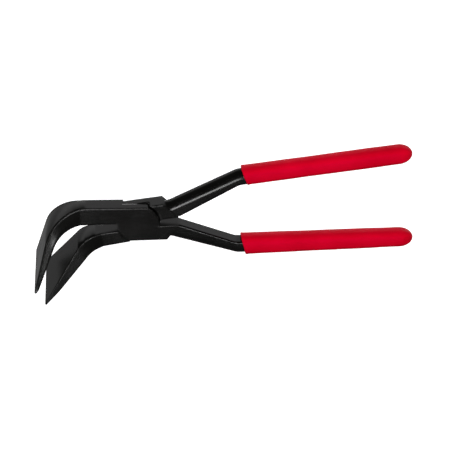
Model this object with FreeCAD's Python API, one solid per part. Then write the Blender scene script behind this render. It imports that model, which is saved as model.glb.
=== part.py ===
"""Bent-jaw seaming pliers: two forged levers that cross in a laid-in lap joint,
a flush rivet through the joint, and a dipped grip on each handle.

Frame, in millimetres: +X runs from the joint to the handles, +Z up in the plane in
which the pliers open, and +Y along the pivot. The origin is where the pivot axis
meets the flat outer face of the front cheek. Both levers are drawn with the jaws
shut, when the two handles run alongside X, and are then turned apart by half the
resting opening each. The upper-jaw lever has the front cheek and the lower handle,
and is side -1. The lower-jaw lever has the rear cheek and the upper handle, and is
side 1. Heights in LEVERS are measured from X towards the lever's own handle.
"""
import FreeCAD, Part
import os
from math import cos, radians, sin, tan

REST_OPENING = 7.0          # degrees between the levers as modelled, 0 with the jaws shut

# Joint
JOINT_THICKNESS = 13.5      # both cheeks together
CHEEK_GAP = 0.2             # between the mating cheeks
BLOCK_ROUND = 1.0           # where the full-thickness block starts to slope down
ROOT_END = 28.3             # where the two handles part
CHEEK_JAW_RADIUS = 16.6     # a cheek's round edge on the jaw side
RECESS_JAW_RADIUS = 16.9    # the shoulder that it turns in

# Rivet, ground flush at both ends
RIVET_RADIUS = 4.0
RIVET_HEAD_RADIUS = 6.0
RIVET_HEAD_DEPTH = 2.0
RIVET_CLEARANCE = 0.05      # all round, in the lever that turns on it

# Jaws
JAW_WIDTH = 60.0
EDGE_ROUND = 0.4
UPPER_ARM_UNDERSIDE = -0.4
LOWER_ARM_TOP = -4.5

# Handles, steel
HANDLE_WIDTH = 12.4         # across the tool
HANDLE_OUTER_ROUND = 5.6
HANDLE_INNER_ROUND = 1.6
HANDLE_LEAVES_BLOCK = 22.5  # where its outer side turns away from X
HANDLE_RISE = 0.37          # slope from there to the bend
INNER_ROOT_RADIUS = 6.0     # of the turns in its side view
OUTER_ROOT_RADIUS = 12.0
INNER_BEND_RADIUS = 9.0
OUTER_BEND_RADIUS = 14.0
TANG_WIDTH = 10.0           # slimmer end inside the grip
TANG_HEIGHT = 7.6
TANG_ROUND = 2.5
TANG_END = 195.5

# Grips
GRIP_WIDTH = 14.0
GRIP_ROUND = 5.2
GRIP_NOSE_RADIUS = 5.9
GRIP_LEAN = 14.0            # degrees that the dip line leans towards the jaws at its top

# A lever's cheek_handle and recess_handle are the radii of its own cheek, and of the
# shoulder that this cheek turns in, on the handle side. Its block_edge is on its
# handle's side of X and its cheek_edge on the other. The handle's inner and outer sides
# go from the root heights to the bar heights. Its inner side leaves the root at
# inner_turn, and both sides turn at the bends to run alongside X.
# The grip offsets give the grip's axis from X at the dip line and at the end.
LEVERS = {
    1: {"cheek_handle": 15.2, "recess_handle": 15.5, "block_edge": 12.4, "cheek_edge": 13.9,
        "block_end": 18.4, "root_inner": 0.2, "root_outer": 11.1, "inner_turn": 29.8,
        "bar_inner": 18.6, "inner_bend": 74.7, "bar_outer": 28.8, "outer_bend": 74.2,
        "dip_line": 80.0, "grip_offset": 23.7, "grip_end_offset": 23.3,
        "grip_start_height": 12.4, "grip_end_height": 12.5, "grip_end": 201.0},
    -1: {"cheek_handle": 13.5, "recess_handle": 15.2, "block_edge": 14.6, "cheek_edge": 12.2,
         "block_end": 19.8, "root_inner": 3.0, "root_outer": 13.9, "inner_turn": 28.3,
         "bar_inner": 19.6, "inner_bend": 70.8, "bar_outer": 30.1, "outer_bend": 71.6,
         "dip_line": 76.4, "grip_offset": 24.1, "grip_end_offset": 22.8,
         "grip_start_height": 14.0, "grip_end_height": 12.1, "grip_end": 203.0},
}

MID = JOINT_THICKNESS / 2
FAR = 400.0                 # beyond any part of the tool
TINY = 1e-3
ACROSS = FreeCAD.Vector(0, 1, 0)


def point(x, z, y=0.0):
    return FreeCAD.Vector(x, y, z)


def outline(corners):
    """Closed wire in the XZ plane through (x, z, radius) corners, each rounded to its radius."""
    starts, ends, edges = [], [], []
    for i, (x, z, radius) in enumerate(corners):
        here = point(x, z)
        to_before = (point(*corners[i - 1][:2]) - here).normalize()
        to_after = (point(*corners[(i + 1) % len(corners)][:2]) - here).normalize()
        start = end = here
        if radius:
            half_corner = to_before.getAngle(to_after) / 2
            tangent = radius / tan(half_corner)
            inward = (to_before + to_after).normalize()
            start, end = here + to_before * tangent, here + to_after * tangent
            middle = here + inward * (radius / sin(half_corner) - radius)
            edges.append(Part.Arc(start, middle, end).toShape())
        starts.append(start)
        ends.append(end)
    for end, start in zip(ends, starts[1:] + starts[:1]):
        edges.append(Part.LineSegment(end, start).toShape())
    return Part.Wire(Part.__sortEdges__(edges))


def plate(corners, y_low, y_high):
    """Outline made solid across the tool, from y_low to y_high."""
    solid = Part.Face(outline(corners)).extrude(ACROSS * (y_high - y_low))
    return solid.translated(ACROSS * y_low)


def mirrored(corners, side):
    """Corners drawn for the lever above X, for the lever on the given side."""
    return [(x, side * z, radius) for x, z, radius in corners]


def slab(x_low, x_high, z_low, z_high, y_low, y_high):
    return Part.makeBox(x_high - x_low, y_high - y_low, z_high - z_low, point(x_low, z_low, y_low))


def side_edges(solid):
    """Edges that lie in the solid's two outer faces, square to Y."""
    return [edge for edge in solid.Edges if edge.BoundBox.YLength < TINY]


def pivot_disc(jaw_radius, handle_radius, y_low, y_high):
    """Disc about the pivot with one radius on the jaw side and another on the handle side."""
    halves = []
    for radius, x_low, x_high in ((jaw_radius, -FAR, 0), (handle_radius, 0, FAR)):
        whole = Part.makeCylinder(radius, y_high - y_low, point(0, 0, y_low), ACROSS)
        halves.append(whole.common(slab(x_low, x_high, -FAR, FAR, y_low, y_high)))
    return halves[0].fuse(halves[1])


def flare_section(centre, turn, width):
    """Rectangle across a jaw where it has turned down by an angle, square to its run."""
    reach = 15.0
    outward = FreeCAD.Vector(-sin(turn), 0, cos(turn)) * reach
    half = ACROSS * (width / 2)
    middle = centre + ACROSS * MID
    loop = [middle + outward + half, middle + outward - half,
            middle - outward - half, middle - outward + half]
    return Part.makePolygon(loop + loop[:1])


def flare(corner, radius, turn, blade_length):
    """Envelope of a jaw that widens evenly from the start of its bend to its straight edge."""
    steps = 6
    past_edge = 4.0
    turn = radians(turn)
    start_x = corner[0] + radius * tan(turn / 2)
    growth = (JAW_WIDTH - JOINT_THICKNESS) / (radius * turn + blade_length)
    sections = []
    for i in range(steps + 1):
        angle = turn * i / steps
        centre = point(start_x - radius * sin(angle), corner[1] - radius * (1 - cos(angle)))
        sections.append(flare_section(centre, angle, JOINT_THICKNESS + growth * radius * angle))
    past_centre = centre - FreeCAD.Vector(cos(turn), 0, sin(turn)) * (blade_length + past_edge)
    past_section = flare_section(past_centre, turn, JAW_WIDTH + growth * past_edge)
    arm = slab(start_x, FAR, -FAR, FAR, 0, JOINT_THICKNESS)
    bend = Part.makeLoft(sections, True, False)
    blade = Part.makeLoft([sections[-1], past_section], True, True)
    return arm, bend, blade


def jaw(corners, envelope):
    """Jaw's side view made solid and trimmed to its flare."""
    body = plate(corners, MID - JAW_WIDTH / 2, MID + JAW_WIDTH / 2)
    arm, bend, blade = (body.common(piece) for piece in envelope)
    return arm.fuse([bend, blade]).removeSplitter()


def upper_jaw():
    """Jaw that arches over the other, steep, with a narrow land along its edge."""
    top = LEVERS[-1]["cheek_edge"]
    corners = [(0, top, 0), (-61.8, 13.6, 30), (-77.2, -41.9, EDGE_ROUND),
               (-75.9, -42.4, EDGE_ROUND), (-73.8, -39.9, 0),
               (-56.9, UPPER_ARM_UNDERSIDE, 19), (0, UPPER_ARM_UNDERSIDE, 0)]
    return jaw(corners, flare(corner=(-60.0, 6.2), radius=23.5, turn=72.6, blade_length=33.0))


def lower_jaw():
    """Slimmer jaw under it, with a flat blade bevelled to its edge from below."""
    bottom = -LEVERS[1]["cheek_edge"]
    corners = [(0, LOWER_ARM_TOP, 0), (-41.2, LOWER_ARM_TOP, 19), (-75.9, -42.78, EDGE_ROUND),
               (-74.9, -43.6, EDGE_ROUND), (-64.3, -36.7, 8), (-37.2, -15.4, 15),
               (0, bottom, 0)]
    return jaw(corners, flare(corner=(-38.0, -9.5), radius=23.5, turn=43.8, blade_length=41.0))


def root(side):
    """Full-thickness block between a lever's cheek and its handle."""
    sizes = LEVERS[side]
    outer, inner = sizes["block_edge"], sizes["root_inner"]
    corners = [(0, outer, 0), (sizes["block_end"], outer, BLOCK_ROUND),
               (ROOT_END, inner, 0), (0, inner, 0)]
    return plate(mirrored(corners, side), 0, JOINT_THICKNESS)


def handle_bar(side):
    """Visible steel handle, well rounded on its outer side and nearly flat on its inner side."""
    sizes = LEVERS[side]
    overlap = 4.0                       # into the block and into the grip
    start, end = sizes["block_end"] - overlap, sizes["dip_line"] + overlap
    inner_root, outer_root = sizes["root_inner"], sizes["root_outer"]
    inner_end, outer_end = sizes["bar_inner"], sizes["bar_outer"]
    corners = [(start, inner_root, 0), (sizes["inner_turn"], inner_root, INNER_ROOT_RADIUS),
               (sizes["inner_bend"], inner_end, INNER_BEND_RADIUS),
               (end, inner_end, 0), (end, outer_end, 0),
               (sizes["outer_bend"], outer_end, OUTER_BEND_RADIUS),
               (HANDLE_LEAVES_BLOCK, outer_root, OUTER_ROOT_RADIUS), (start, outer_root, 0)]
    body = plate(mirrored(corners, side), MID - HANDLE_WIDTH / 2, MID + HANDLE_WIDTH / 2)
    root_centre = (inner_root + outer_root) / 2
    outer_edges, inner_edges = [], []
    for edge in side_edges(body):
        x, z = edge.CenterOfMass.x, side * edge.CenterOfMass.z
        rise = HANDLE_RISE * max(0, x - ROOT_END)
        bar_centre = min(sizes["grip_offset"], root_centre + rise)
        if edge.BoundBox.XLength > TINY:
            (outer_edges if z > bar_centre else inner_edges).append(edge)
    return body.makeFillet(HANDLE_OUTER_ROUND, outer_edges).makeFillet(HANDLE_INNER_ROUND, inner_edges)


def tapered_bar(side, x_low, x_high, start_height, end_height, width, edge_round, end_round):
    """Bar along the grip axis, rounded along its edges and at its far end."""
    start_offset, end_offset = LEVERS[side]["grip_offset"], LEVERS[side]["grip_end_offset"]
    corners = [(x_low, start_offset + start_height / 2, 0),
               (x_high, end_offset + end_height / 2, end_round),
               (x_high, end_offset - end_height / 2, end_round),
               (x_low, start_offset - start_height / 2, 0)]
    body = plate(mirrored(corners, side), MID - width / 2, MID + width / 2)
    return body.makeFillet(edge_round, side_edges(body))


def handle(side):
    """Visible bar with its slimmer tang inside the grip."""
    tang_start = LEVERS[side]["dip_line"]
    tang = tapered_bar(side, tang_start, TANG_END, TANG_HEIGHT, TANG_HEIGHT,
                       TANG_WIDTH, TANG_ROUND, TANG_ROUND)
    return handle_bar(side).fuse(tang)


def cheek_layer(side, past_face=0.0):
    """Span across the tool of a lever's own cheek, or a little past its outer face."""
    if side > 0:
        return MID + CHEEK_GAP / 2, JOINT_THICKNESS + past_face
    return -past_face, MID - CHEEK_GAP / 2


def cheek(side):
    """Round cheek of half the joint's thickness, cut flat above and below."""
    y_low, y_high = cheek_layer(side)
    disc = pivot_disc(CHEEK_JAW_RADIUS, LEVERS[side]["cheek_handle"], y_low, y_high)
    own, other = side * LEVERS[side]["block_edge"], -side * LEVERS[side]["cheek_edge"]
    return disc.common(slab(-FAR, FAR, min(own, other), max(own, other), y_low, y_high))


def cheek_room(side):
    """Space in a lever where the other lever's cheek turns, with the gap between the two."""
    y_low, y_high = cheek_layer(-side, past_face=1.0)
    if side > 0:
        y_high += CHEEK_GAP
    else:
        y_low -= CHEEK_GAP
    return pivot_disc(RECESS_JAW_RADIUS, LEVERS[-side]["recess_handle"], y_low, y_high)


def rivet(clearance=0.0):
    """Rivet with a countersunk head at each end, or with clearance the hole that turns on it."""
    shank, head = RIVET_RADIUS + clearance, RIVET_HEAD_RADIUS + clearance
    body = Part.makeCylinder(shank, JOINT_THICKNESS, point(0, 0), ACROSS)
    front = Part.makeCone(head, shank, RIVET_HEAD_DEPTH, point(0, 0), ACROSS)
    rear = Part.makeCone(head, shank, RIVET_HEAD_DEPTH, point(0, 0, JOINT_THICKNESS), ACROSS * -1)
    return body.fuse([front, rear]).removeSplitter()


def lever(side):
    """One forging: jaw, cheek, block and handle."""
    jaw_body = lower_jaw() if side > 0 else upper_jaw()
    body = jaw_body.fuse([root(side), handle(side)]).cut(cheek_room(side))
    body = body.fuse(cheek(side)).removeSplitter()
    return body.cut(rivet(RIVET_CLEARANCE if side > 0 else 0.0))


def grip(side):
    """Dipped grip round the handle's end, with a round nose and a leaning dip line."""
    sizes = LEVERS[side]
    spare = 10.0                        # beyond the dip line, trimmed off
    body = tapered_bar(side, sizes["dip_line"] - spare, sizes["grip_end"],
                       sizes["grip_start_height"], sizes["grip_end_height"],
                       GRIP_WIDTH, GRIP_ROUND, GRIP_NOSE_RADIUS)
    waste = slab(-FAR, 0, -FAR, FAR, -FAR, FAR).rotated(point(0, 0), ACROSS, -GRIP_LEAN)
    body = body.cut(waste.translated(point(sizes["dip_line"], side * sizes["grip_offset"])))
    return body.cut(handle(side))


def at_rest(shape, side):
    """Lever's part turned from the shut pose to the resting pose."""
    return shape.rotated(point(0, 0), ACROSS * -1, side * REST_OPENING / 2)


def main():
    os.makedirs("parts", exist_ok=True)
    nodes = {
        "upper_jaw_lever": at_rest(lever(-1), -1),
        "lower_jaw_lever": at_rest(lever(1), 1),
        "joint_rivet": at_rest(rivet(), -1),
        "lower_handle_grip": at_rest(grip(-1), -1),
        "upper_handle_grip": at_rest(grip(1), 1),
    }
    for name, shape in nodes.items():
        shape.exportStep(f"parts/{name}.step")
        print(name, shape.isValid(), len(shape.Solids), round(shape.Volume), shape.BoundBox)


if __name__ == "__main__":
    main()
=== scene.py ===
"""Looks of the bent-jaw seaming pliers: black lacquered forgings and red dipped grips.

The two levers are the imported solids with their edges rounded. The rivet is replaced by a
skin that runs out into the lacquer, and the two grips by dipped skins with a soft lip, a
slight ripple and a round nose. Metres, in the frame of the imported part.
"""

from math import cos, pi, radians, sin, tan

import bpy
from mathutils import Matrix, Vector


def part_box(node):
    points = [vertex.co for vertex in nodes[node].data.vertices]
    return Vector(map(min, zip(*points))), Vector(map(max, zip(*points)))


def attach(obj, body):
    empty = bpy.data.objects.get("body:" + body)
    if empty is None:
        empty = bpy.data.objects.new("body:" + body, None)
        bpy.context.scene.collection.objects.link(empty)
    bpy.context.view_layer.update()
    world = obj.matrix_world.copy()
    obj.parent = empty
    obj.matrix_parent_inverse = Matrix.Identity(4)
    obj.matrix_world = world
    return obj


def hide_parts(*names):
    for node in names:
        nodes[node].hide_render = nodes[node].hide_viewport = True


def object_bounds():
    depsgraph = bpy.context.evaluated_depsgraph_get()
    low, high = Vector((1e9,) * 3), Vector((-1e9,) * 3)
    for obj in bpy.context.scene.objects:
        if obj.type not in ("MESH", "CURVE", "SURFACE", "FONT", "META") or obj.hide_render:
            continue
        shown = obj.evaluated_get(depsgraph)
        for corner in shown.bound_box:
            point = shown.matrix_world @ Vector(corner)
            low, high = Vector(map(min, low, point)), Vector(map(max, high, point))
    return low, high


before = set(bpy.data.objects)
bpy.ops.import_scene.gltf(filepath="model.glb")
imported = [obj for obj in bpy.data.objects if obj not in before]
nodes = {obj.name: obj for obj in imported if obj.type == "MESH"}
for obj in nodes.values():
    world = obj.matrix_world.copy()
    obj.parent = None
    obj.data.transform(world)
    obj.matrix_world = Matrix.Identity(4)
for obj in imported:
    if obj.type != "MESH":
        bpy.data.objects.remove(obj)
cad_low, cad_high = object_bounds()
MM = 0.001

# View: the lens, and the side it looks from, with azimuth 0 at the front
CAMERA_DISTANCE = 1.0
CAMERA_AZIMUTH = radians(-4.2)
CAMERA_ELEVATION = radians(30.3)
CAMERA_ROLL = radians(-2.8)
CAMERA_LENS = 109.04                          # focal length in millimetres
AIM_OFFSET = Vector((1.2, 0, -8.4)) * MM      # from the middle of the pliers

# Steel
EDGE_WIDTH = 0.45 * MM
EDGE_ANGLE = radians(28)                      # a sharper edge than this is rounded
WELD_DISTANCE = 0.002 * MM
BLACK = (0.0024, 0.0024, 0.0021)
WORN = (0.04, 0.039, 0.036)
MOTTLE = (0.7, 1.3)                           # darkest and palest shade of the black

# The shading rounds the edges further than the mesh does, as thick lacquer would: a radius
# for each lever's jaw, joint and handle, and the x between which one goes over to the next
SOFT_EDGES = {"upper_jaw_lever": (2.6 * MM, 1.7 * MM, 0.7 * MM),
              "lower_jaw_lever": (1.4 * MM, 1.7 * MM, 1.8 * MM)}
JAW_TO_JOINT = (-48 * MM, -34 * MM)
JOINT_TO_HANDLE = (16 * MM, 28 * MM)
BEVEL_SAMPLES = 8

# Rivet
RIVET_DOME = 0.03 * MM                        # the front end stands this proud of the cheek
FILM_WIDTH = 2.2 * MM                         # the lacquer runs out this far round it
SHANK_SHARE = 0.66                            # of the head's radius

# Grips: the heights are at the dip line and at the end
RED_DEEP = (0.56, 0.0003, 0.011)
RED_BRIGHT = (0.68, 0.001, 0.018)
GRIP_HEIGHTS = {"upper_handle_grip": (12.4 * MM, 12.5 * MM),
                "lower_handle_grip": (14.0 * MM, 12.1 * MM)}
GRIP_LEAN = radians(14)                       # the dip line leans back towards its top
LEAN_SHARE = 0.5                              # of the grip's length, where the lean has gone
GRIP_SQUARENESS = 2.8                         # 2 is an ellipse
LIP_LENGTH = 2.4 * MM
LIP_ROLL = 0.9 * MM                           # length of the lip's round edge
LIP_BITE = 1.3 * MM                           # how far the lip's edge starts inside the skin
LIP_SWELL = 0.22 * MM                         # the lip stands this proud of the rest
RIPPLE = 0.05 * MM
LIP_STEPS, RUN_STEPS, NOSE_STEPS, GRIP_AROUND = 7, 64, 12, 48
GRIP_SPARE = 0.35 * MM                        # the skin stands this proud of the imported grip
GRIP_START_SPARE = 0.7 * MM
GRIP_END_SPARE = 0.95 * MM
GRIP_END_LIFT = 0.3 * MM                      # the box's corner lies below the end of the axis
NOSE_LENGTH = 10.5 * MM
NOSE_END_SHARE = 0.03                         # of the section, left at the very end

# Studio: a white cove that only the camera sees, in metres
FLOOR_DROP = 0.055                            # below the pliers
FLOOR_RADIUS, CURVE_RADIUS, WALL_TOP = 1.6, 1.2, 3.2
CURVE_STEPS, COVE_AROUND = 12, 64
COVE_WHITE = 0.9
COVE_GLOW = 0.75

# Name, (azimuth, elevation) in degrees, distance, (width, height), radiance, seen by
LIGHTS = [("key", (-4, 33), 1.6, (1.4, 0.8), 6.9, "diffuse"),
          ("top", (20, 85), 1.4, (1.2, 1.2), 0.7, "diffuse"),
          ("low_fill", (10, -18), 1.3, (1.4, 0.5), 1.5, "diffuse"),
          ("rear_fill", (170, 5), 1.5, (1.6, 0.9), 4.5, "diffuse"),
          ("strip", (-27, -8), 1.3, (1.35, 0.34), 9.5, "gloss"),
          ("right_strip", (15.5, 12), 1.3, (0.26, 0.2), 14.0, "gloss"),
          ("low_left", (-29, -27), 1.3, (0.26, 0.22), 5.0, "gloss"),
          ("rear_strip", (178, 4), 1.3, (0.5, 0.12), 2.0, "gloss"),
          ("rear_side", (135, -14), 1.3, (0.8, 0.4), 1.3, "gloss")]

# World, as (height, shade) with height 0 straight down and 1 straight up
BACK_SHADES = [(0.0, 0.1), (0.25, 0.2), (0.4, 0.15), (0.52, 0.15),
               (0.66, 0.42), (0.76, 0.4), (0.85, 0.05), (1.0, 0.03)]
FRONT_SHADES = [(0.0, 0.06), (0.35, 0.06), (0.5, 0.04), (0.6, 0.03), (1.0, 0.015)]
BACK_STARTS, BACK_FULL = -0.3, 0.4            # y of the direction where the back fades in


# ---------------------------------------------------------------- node helpers

class Nodes:
    """A material's node tree, with short calls for the nodes used here."""

    def __init__(self, name):
        self.material = bpy.data.materials.new(name)
        self.material.use_nodes = True
        self.tree = self.material.node_tree
        self.shader = self.tree.nodes["Principled BSDF"]
        self.place = self.tree.nodes.new("ShaderNodeTexCoord").outputs["Object"]

    def link(self, source, target):
        self.tree.links.new(source, target)

    def feed(self, socket, value):
        """Links a socket to another one, or sets it to a plain value."""
        if isinstance(value, bpy.types.NodeSocket):
            self.link(value, socket)
        else:
            socket.default_value = value

    def add(self, kind, settings=None, **inputs):
        node = self.tree.nodes.new(kind)
        for key, value in (settings or {}).items():
            setattr(node, key, value)
        for key, value in inputs.items():
            self.feed(node.inputs[key.replace("_", " ")], value)
        return node

    def stretched(self, x, y, z):
        node = self.add("ShaderNodeMapping", Vector=self.place, Scale=(x, y, z))
        return node.outputs["Vector"]

    def noise(self, scale, detail=4.0, roughness=0.55, vector=None):
        node = self.add("ShaderNodeTexNoise", Vector=vector or self.place, Scale=scale,
                        Detail=detail, Roughness=roughness)
        return node.outputs["Fac"]

    def remap(self, value, low, high, to_low, to_high):
        node = self.add("ShaderNodeMapRange", Value=value, From_Min=low, From_Max=high,
                        To_Min=to_low, To_Max=to_high)
        return node.outputs["Result"]

    def math(self, operation, first, second):
        node = self.add("ShaderNodeMath", {"operation": operation})
        self.feed(node.inputs[0], first)
        self.feed(node.inputs[1], second)
        return node.outputs[0]

    def blend(self, factor, first, second):
        """Mixes two colours. Inputs 6 and 7 and output 2 are the mix node's colours."""
        node = self.add("ShaderNodeMix", {"data_type": "RGBA"}, Factor=factor)
        for socket, value in ((node.inputs[6], first), (node.inputs[7], second)):
            is_link = isinstance(value, bpy.types.NodeSocket)
            self.feed(socket, value if is_link else (*value, 1))
        return node.outputs[2]

    def bump(self, height, distance, strength=1.0, below=None):
        node = self.add("ShaderNodeBump", Height=height, Distance=distance, Strength=strength)
        if below is not None:
            self.link(below, node.inputs["Normal"])
        return node.outputs["Normal"]

    def soft_normal(self, jaw, joint, handle):
        """Normal rounded over the edges, by a radius each for jaw, joint and handle."""
        x = self.add("ShaderNodeSeparateXYZ", Vector=self.place).outputs["X"]
        radius = self.math("ADD", self.remap(x, *JAW_TO_JOINT, jaw, joint),
                           self.remap(x, *JOINT_TO_HANDLE, 0.0, handle - joint))
        bevel = self.add("ShaderNodeBevel", {"samples": BEVEL_SAMPLES}, Radius=radius)
        return bevel.outputs["Normal"]

    def edge_mask(self, rounded):
        """About 1 where the rounded normal leaves the true one, 0 where the surface is flat."""
        true_normal = self.add("ShaderNodeNewGeometry").outputs["Normal"]
        dot = self.add("ShaderNodeVectorMath", {"operation": "DOT_PRODUCT"})
        self.link(rounded, dot.inputs[0])
        self.link(true_normal, dot.inputs[1])
        flat, edge = 0.99, 0.8
        return self.remap(dot.outputs["Value"], flat, edge, 0.0, 1.0)


# ---------------------------------------------------------------- materials

def black_tone(m, mottle):
    darkest, palest = MOTTLE
    return m.blend(mottle, tuple(c * darkest for c in BLACK), tuple(c * palest for c in BLACK))


def black_lacquer(name, soft_edges):
    """Satin black over a forged skin, rubbed thin on the edges."""
    m = Nodes(name)
    grain = m.noise(900, detail=5, roughness=0.6)
    mottle = m.noise(55, detail=3)
    scuffs = m.noise(240, detail=6, roughness=0.7)
    rounded = m.soft_normal(*soft_edges)
    wear = m.math("MULTIPLY", m.edge_mask(rounded), m.remap(scuffs, 0.45, 0.7, 0.0, 0.45))
    m.link(m.blend(wear, black_tone(m, mottle), WORN), m.shader.inputs["Base Color"])
    rough = m.math("ADD", m.remap(mottle, 0.3, 0.7, 0.18, 0.24),
                   m.remap(grain, 0.3, 0.7, -0.02, 0.02))
    m.link(rough, m.shader.inputs["Roughness"])
    fine = m.bump(grain, 0.03 * MM, 0.12, below=rounded)
    m.link(m.bump(m.noise(110, detail=2), 0.2 * MM, 0.1, below=fine), m.shader.inputs["Normal"])
    return m.material


def rivet_lacquer(name):
    """The same black over a rivet end that was ground flush, with faint rings."""
    m = Nodes(name)
    rings = m.add("ShaderNodeTexWave", {"wave_type": "RINGS", "rings_direction": "Y"},
                  Vector=m.place, Scale=420.0, Distortion=2.5, Detail=2.0)
    mottle = m.noise(55, detail=3)
    m.link(black_tone(m, mottle), m.shader.inputs["Base Color"])
    m.link(m.remap(mottle, 0.3, 0.7, 0.19, 0.25), m.shader.inputs["Roughness"])
    m.link(m.bump(rings.outputs["Fac"], 0.02 * MM, 0.08), m.shader.inputs["Normal"])
    return m.material


def red_dip(name):
    """Glossy red PVC with faint runs along the handle and a slightly uneven skin."""
    m = Nodes(name)
    runs = m.noise(60, detail=2, vector=m.stretched(0.35, 1.0, 1.0))
    skin = m.noise(420, detail=3)
    cloud = m.noise(32, detail=3)
    tone = m.blend(m.remap(cloud, 0.3, 0.7, 0.0, 1.0), RED_DEEP, RED_BRIGHT)
    m.link(tone, m.shader.inputs["Base Color"])
    m.link(m.remap(skin, 0.25, 0.75, 0.38, 0.5), m.shader.inputs["Roughness"])
    broad = m.bump(runs, 0.5 * MM, 0.25)
    m.link(m.bump(skin, 0.05 * MM, 0.3, below=broad), m.shader.inputs["Normal"])
    m.shader.inputs["Specular IOR Level"].default_value = 0.09
    m.shader.inputs["Specular Tint"].default_value = (1.0, 0.0, 0.6, 1.0)
    return m.material


def glowing_white(name):
    m = Nodes(name)
    m.shader.inputs["Base Color"].default_value = (COVE_WHITE, COVE_WHITE, COVE_WHITE, 1)
    m.shader.inputs["Roughness"].default_value = 0.9
    m.shader.inputs["Emission Color"].default_value = (1, 1, 1, 1)
    m.shader.inputs["Emission Strength"].default_value = COVE_GLOW
    return m.material


# ---------------------------------------------------------------- mesh helpers

def smooth_object(name, points, faces, material):
    """Object in the scene, with smooth shading and one material."""
    mesh = bpy.data.meshes.new(name)
    mesh.from_pydata(points, [], faces)
    for polygon in mesh.polygons:
        polygon.use_smooth = True
    mesh.materials.append(material)
    thing = bpy.data.objects.new(name, mesh)
    bpy.context.scene.collection.objects.link(thing)
    return thing


def tube_faces(rings, around):
    """Quads between rings of points, each ring having the same number of points."""
    faces = []
    for i in range(rings - 1):
        for k in range(around):
            a, b = i * around + k, i * around + (k + 1) % around
            faces.append((a, b, b + around, a + around))
    return faces


# ---------------------------------------------------------------- steel

def finish_solid(node, material):
    """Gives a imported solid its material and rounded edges."""
    solid = nodes[node]
    for entry in solid.material_slots:
        entry.material = material
    weld = solid.modifiers.new("weld", "WELD")
    weld.merge_threshold = WELD_DISTANCE
    bevel = solid.modifiers.new("edges", "BEVEL")
    bevel.width = EDGE_WIDTH
    bevel.segments = 3
    bevel.limit_method = "ANGLE"
    bevel.angle_limit = EDGE_ANGLE
    bevel.harden_normals = True


def lathe(name, profile, middle, around, material):
    """Closed body turned about a line along Y from (radius, y) points."""
    points = [Vector((middle.x, profile[0][1], middle.z))]
    for radius, y in profile[1:-1]:
        for k in range(around):
            turn = 2 * pi * k / around
            points.append(Vector((middle.x + radius * cos(turn), y,
                                  middle.z + radius * sin(turn))))
    points.append(Vector((middle.x, profile[-1][1], middle.z)))
    rings = len(profile) - 2
    faces = []
    for k in range(around):
        after = (k + 1) % around
        faces.append((0, 1 + k, 1 + after))
        for i in range(rings - 1):
            a, b = 1 + i * around, 1 + (i + 1) * around
            faces.append((a + k, b + k, b + after, a + after))
        last = 1 + (rings - 1) * around
        faces.append((last + after, last + k, len(points) - 1))
    return smooth_object(name, points, faces, material)


def flush_rivet(node, body, material):
    """Rivet whose front end runs out into the lacquer of the cheek round it."""
    low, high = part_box(node)
    front, rear = low.y, high.y
    head = (high.x - low.x) / 2
    shank = head * SHANK_SHARE
    dome, film = RIVET_DOME, FILM_WIDTH
    profile = [(0, front - dome), (head * 0.4, front - dome), (head * 0.85, front - dome),
               (head + film * 0.1, front - dome * 0.8), (head + film * 0.6, front + dome * 0.2),
               (head + film * 0.95, front + dome), (head + film, front + dome * 1.1),
               (head * 0.9, front + 0.6 * MM), (shank, front + 2 * MM),
               (shank, rear - 2 * MM), (head * 0.97, rear - 0.3 * MM),
               (head * 0.94, rear - 0.02 * MM), (head * 0.88, rear), (head * 0.4, rear),
               (0, rear)]
    skin = lathe(node + "_skin", profile, (low + high) / 2, 64, material)
    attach(skin, body)
    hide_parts(node)


# ---------------------------------------------------------------- grips

def oval(angle, half_width, half_height, squareness):
    """Point on a rounded-square oval, as (across, up)."""
    c, s = cos(angle), sin(angle)
    power = 2 / squareness
    return (half_width * abs(c) ** power * (1 if c >= 0 else -1),
            half_height * abs(s) ** power * (1 if s >= 0 else -1))


def grip_rings(length, width, heights):
    """Rings along the grip, as (distance from the dip line, half width, half height)."""
    outline = []                                    # (distance, offset from the lip's line)
    for i in range(LIP_STEPS):                      # the lip rolls out of the steel
        turn = pi / 2 * i / (LIP_STEPS - 1)
        outline.append((LIP_ROLL * (1 - cos(turn)), -LIP_BITE * (1 - sin(turn))))
    for i in range(1, RUN_STEPS + 1):               # then its swell dies away
        along = LIP_ROLL + (length - NOSE_LENGTH - LIP_ROLL) * i / RUN_STEPS
        swell = LIP_SWELL * max(0.0, 1 - (along - LIP_ROLL) / LIP_LENGTH) ** 2
        outline.append((along, swell - LIP_SWELL))
    rings = []
    for along, inset in outline:
        share = along / length
        half_height = (heights[0] + (heights[1] - heights[0]) * share) / 2
        ripple = RIPPLE * (sin(along * 95) + 0.6 * sin(along * 213 + 1.0))
        offset = inset + LIP_SWELL + ripple * min(1, along / LIP_LENGTH) + GRIP_SPARE
        rings.append((along, width / 2 + offset, half_height + offset))
    base_along, base_width, base_height = rings[-1]
    for i in range(1, NOSE_STEPS + 1):
        turn = pi / 2 * i / NOSE_STEPS
        shrink = max(cos(turn), NOSE_END_SHARE)
        rings.append((base_along + NOSE_LENGTH * sin(turn), base_width * shrink,
                      base_height * shrink))
    return rings


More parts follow.
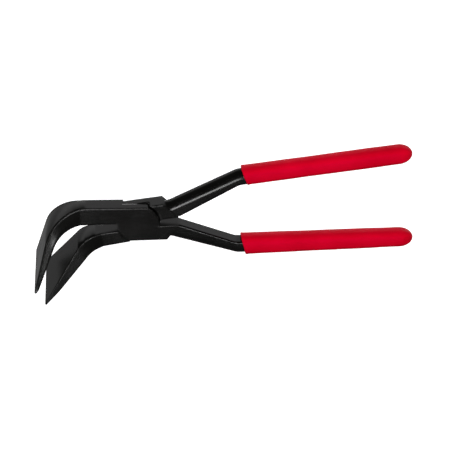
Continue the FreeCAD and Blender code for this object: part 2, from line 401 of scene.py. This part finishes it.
def dipped_grip(node, body, material):
    """Skin that was dipped on to a handle's end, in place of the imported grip."""
    low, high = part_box(node)
    side = 1 if low.z + high.z > 0 else -1
    heights = GRIP_HEIGHTS[node]
    width = high.y - low.y
    middle_y = (low.y + high.y) / 2
    lean_reach = heights[0] / 2 * tan(GRIP_LEAN)
    inner_z, outer_z = (low.z, high.z) if side > 0 else (high.z, low.z)
    start = Vector((low.x + lean_reach, middle_y, inner_z + side * heights[0] / 2))
    end = Vector((high.x, middle_y, outer_z - side * (heights[1] / 2 - GRIP_END_LIFT)))
    run = end - start
    length = run.length
    run.normalize()
    start -= run * GRIP_START_SPARE
    length += GRIP_START_SPARE + GRIP_END_SPARE
    up = Vector((-run.z, 0, run.x))
    across = Vector((0, 1, 0))
    rings = grip_rings(length, width, heights)
    points = []
    for along, half_width, half_height in rings:
        fade = max(0.0, 1 - along / (length * LEAN_SHARE))
        for k in range(GRIP_AROUND):
            y, z = oval(2 * pi * k / GRIP_AROUND, half_width, half_height, GRIP_SQUARENESS)
            shear = -z * tan(GRIP_LEAN) * fade
            points.append(start + run * (along + shear) + across * y + up * z)
    start_cap = tuple(reversed(range(GRIP_AROUND)))
    end_cap = tuple(range(len(points) - GRIP_AROUND, len(points)))
    faces = [start_cap, *tube_faces(len(rings), GRIP_AROUND), end_cap]
    skin = smooth_object(node + "_skin", points, faces, material)
    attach(skin, body)
    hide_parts(node)


# ---------------------------------------------------------------- studio

def bearing(azimuth, elevation):
    """Direction from the pliers, with azimuth 0 at the front."""
    return Vector((sin(azimuth) * cos(elevation), -cos(azimuth) * cos(elevation),
                   sin(elevation)))


def studio_cove():
    """White floor that curves up into a wall all round. Only the camera sees it."""
    depth = cad_low.z - FLOOR_DROP
    profile = [(0.0, 0.0), (FLOOR_RADIUS, 0.0)]
    for i in range(1, CURVE_STEPS + 1):
        turn = pi / 2 * i / CURVE_STEPS
        profile.append((FLOOR_RADIUS + CURVE_RADIUS * sin(turn),
                        CURVE_RADIUS * (1 - cos(turn))))
    profile.append((FLOOR_RADIUS + CURVE_RADIUS, WALL_TOP))
    profile.append((0.0, WALL_TOP))
    points = []
    for radius, height in profile:
        for k in range(COVE_AROUND):
            turn = 2 * pi * k / COVE_AROUND
            points.append((radius * cos(turn), radius * sin(turn), depth + height))
    cove = smooth_object("cove", points, tube_faces(len(profile), COVE_AROUND),
                         glowing_white("cove"))
    cove.visible_glossy = False
    cove.visible_diffuse = False
    cove.visible_shadow = False


def softbox(name, direction, distance, size, radiance, seen_by):
    """Rectangular light that faces the middle of the pliers."""
    middle = (cad_low + cad_high) / 2
    towards = bearing(*(radians(angle) for angle in direction))
    light = bpy.data.lights.new(name, "AREA")
    light.shape = "RECTANGLE"
    light.size, light.size_y = size
    light.energy = radiance * pi * size[0] * size[1]
    lamp = bpy.data.objects.new(name, light)
    lamp.location = middle + towards * distance
    lamp.rotation_euler = (-towards).to_track_quat("-Z", "Y").to_euler()
    lamp.visible_camera = False
    lamp.visible_glossy = "gloss" in seen_by
    lamp.visible_diffuse = "diffuse" in seen_by
    bpy.context.scene.collection.objects.link(lamp)


def studio_world():
    """Reflections: dark in front, above and below, with a paler band low at the back."""
    world = bpy.data.worlds.new("studio")
    world.use_nodes = True
    tree = world.node_tree
    direction = tree.nodes.new("ShaderNodeSeparateXYZ")
    sphere = tree.nodes.new("ShaderNodeTexCoord").outputs["Generated"]
    tree.links.new(sphere, direction.inputs[0])
    height = tree.nodes.new("ShaderNodeMapRange")
    height.inputs["From Min"].default_value = -1
    tree.links.new(direction.outputs["Z"], height.inputs["Value"])
    shades = []
    for stops in (BACK_SHADES, FRONT_SHADES):
        ramp = tree.nodes.new("ShaderNodeValToRGB")
        ramp.color_ramp.interpolation = "EASE"
        while len(ramp.color_ramp.elements) < len(stops):
            ramp.color_ramp.elements.new(0.5)
        for element, (place, shade) in zip(ramp.color_ramp.elements, stops):
            element.position = place
            element.color = (shade, shade, shade, 1)
        tree.links.new(height.outputs["Result"], ramp.inputs["Fac"])
        shades.append(ramp.outputs["Color"])
    back, front = shades
    backwards = tree.nodes.new("ShaderNodeMapRange")
    backwards.inputs["From Min"].default_value = BACK_STARTS
    backwards.inputs["From Max"].default_value = BACK_FULL
    tree.links.new(direction.outputs["Y"], backwards.inputs["Value"])
    mix = tree.nodes.new("ShaderNodeMix")
    mix.data_type = "RGBA"
    tree.links.new(backwards.outputs["Result"], mix.inputs["Factor"])
    tree.links.new(front, mix.inputs[6])
    tree.links.new(back, mix.inputs[7])
    tree.links.new(mix.outputs[2], tree.nodes["Background"].inputs["Color"])
    bpy.context.scene.world = world
    bpy.context.scene.view_settings.view_transform = "Standard"


def studio_camera():
    middle = (cad_low + cad_high) / 2 + AIM_OFFSET
    back = bearing(CAMERA_AZIMUTH, CAMERA_ELEVATION)
    lens = bpy.data.cameras.new("camera")
    lens.lens = CAMERA_LENS
    camera = bpy.data.objects.new("camera", lens)
    turn = (-back).to_track_quat("-Z", "Y").to_matrix().to_4x4()
    camera.matrix_world = (Matrix.Translation(middle + back * CAMERA_DISTANCE) @ turn
                           @ Matrix.Rotation(CAMERA_ROLL, 4, "Z"))
    bpy.context.scene.collection.objects.link(camera)
    bpy.context.scene.camera = camera


for lever in ("upper_jaw_lever", "lower_jaw_lever"):
    finish_solid(lever, black_lacquer("lacquer_" + lever, SOFT_EDGES[lever]))
flush_rivet("joint_rivet", "upper_jaw_half", rivet_lacquer("rivet_lacquer"))
red = red_dip("red_dip")
dipped_grip("lower_handle_grip", "upper_jaw_half", red)
dipped_grip("upper_handle_grip", "lower_jaw_half", red)
studio_cove()
for light in LIGHTS:
    softbox(*light)
studio_world()
studio_camera()
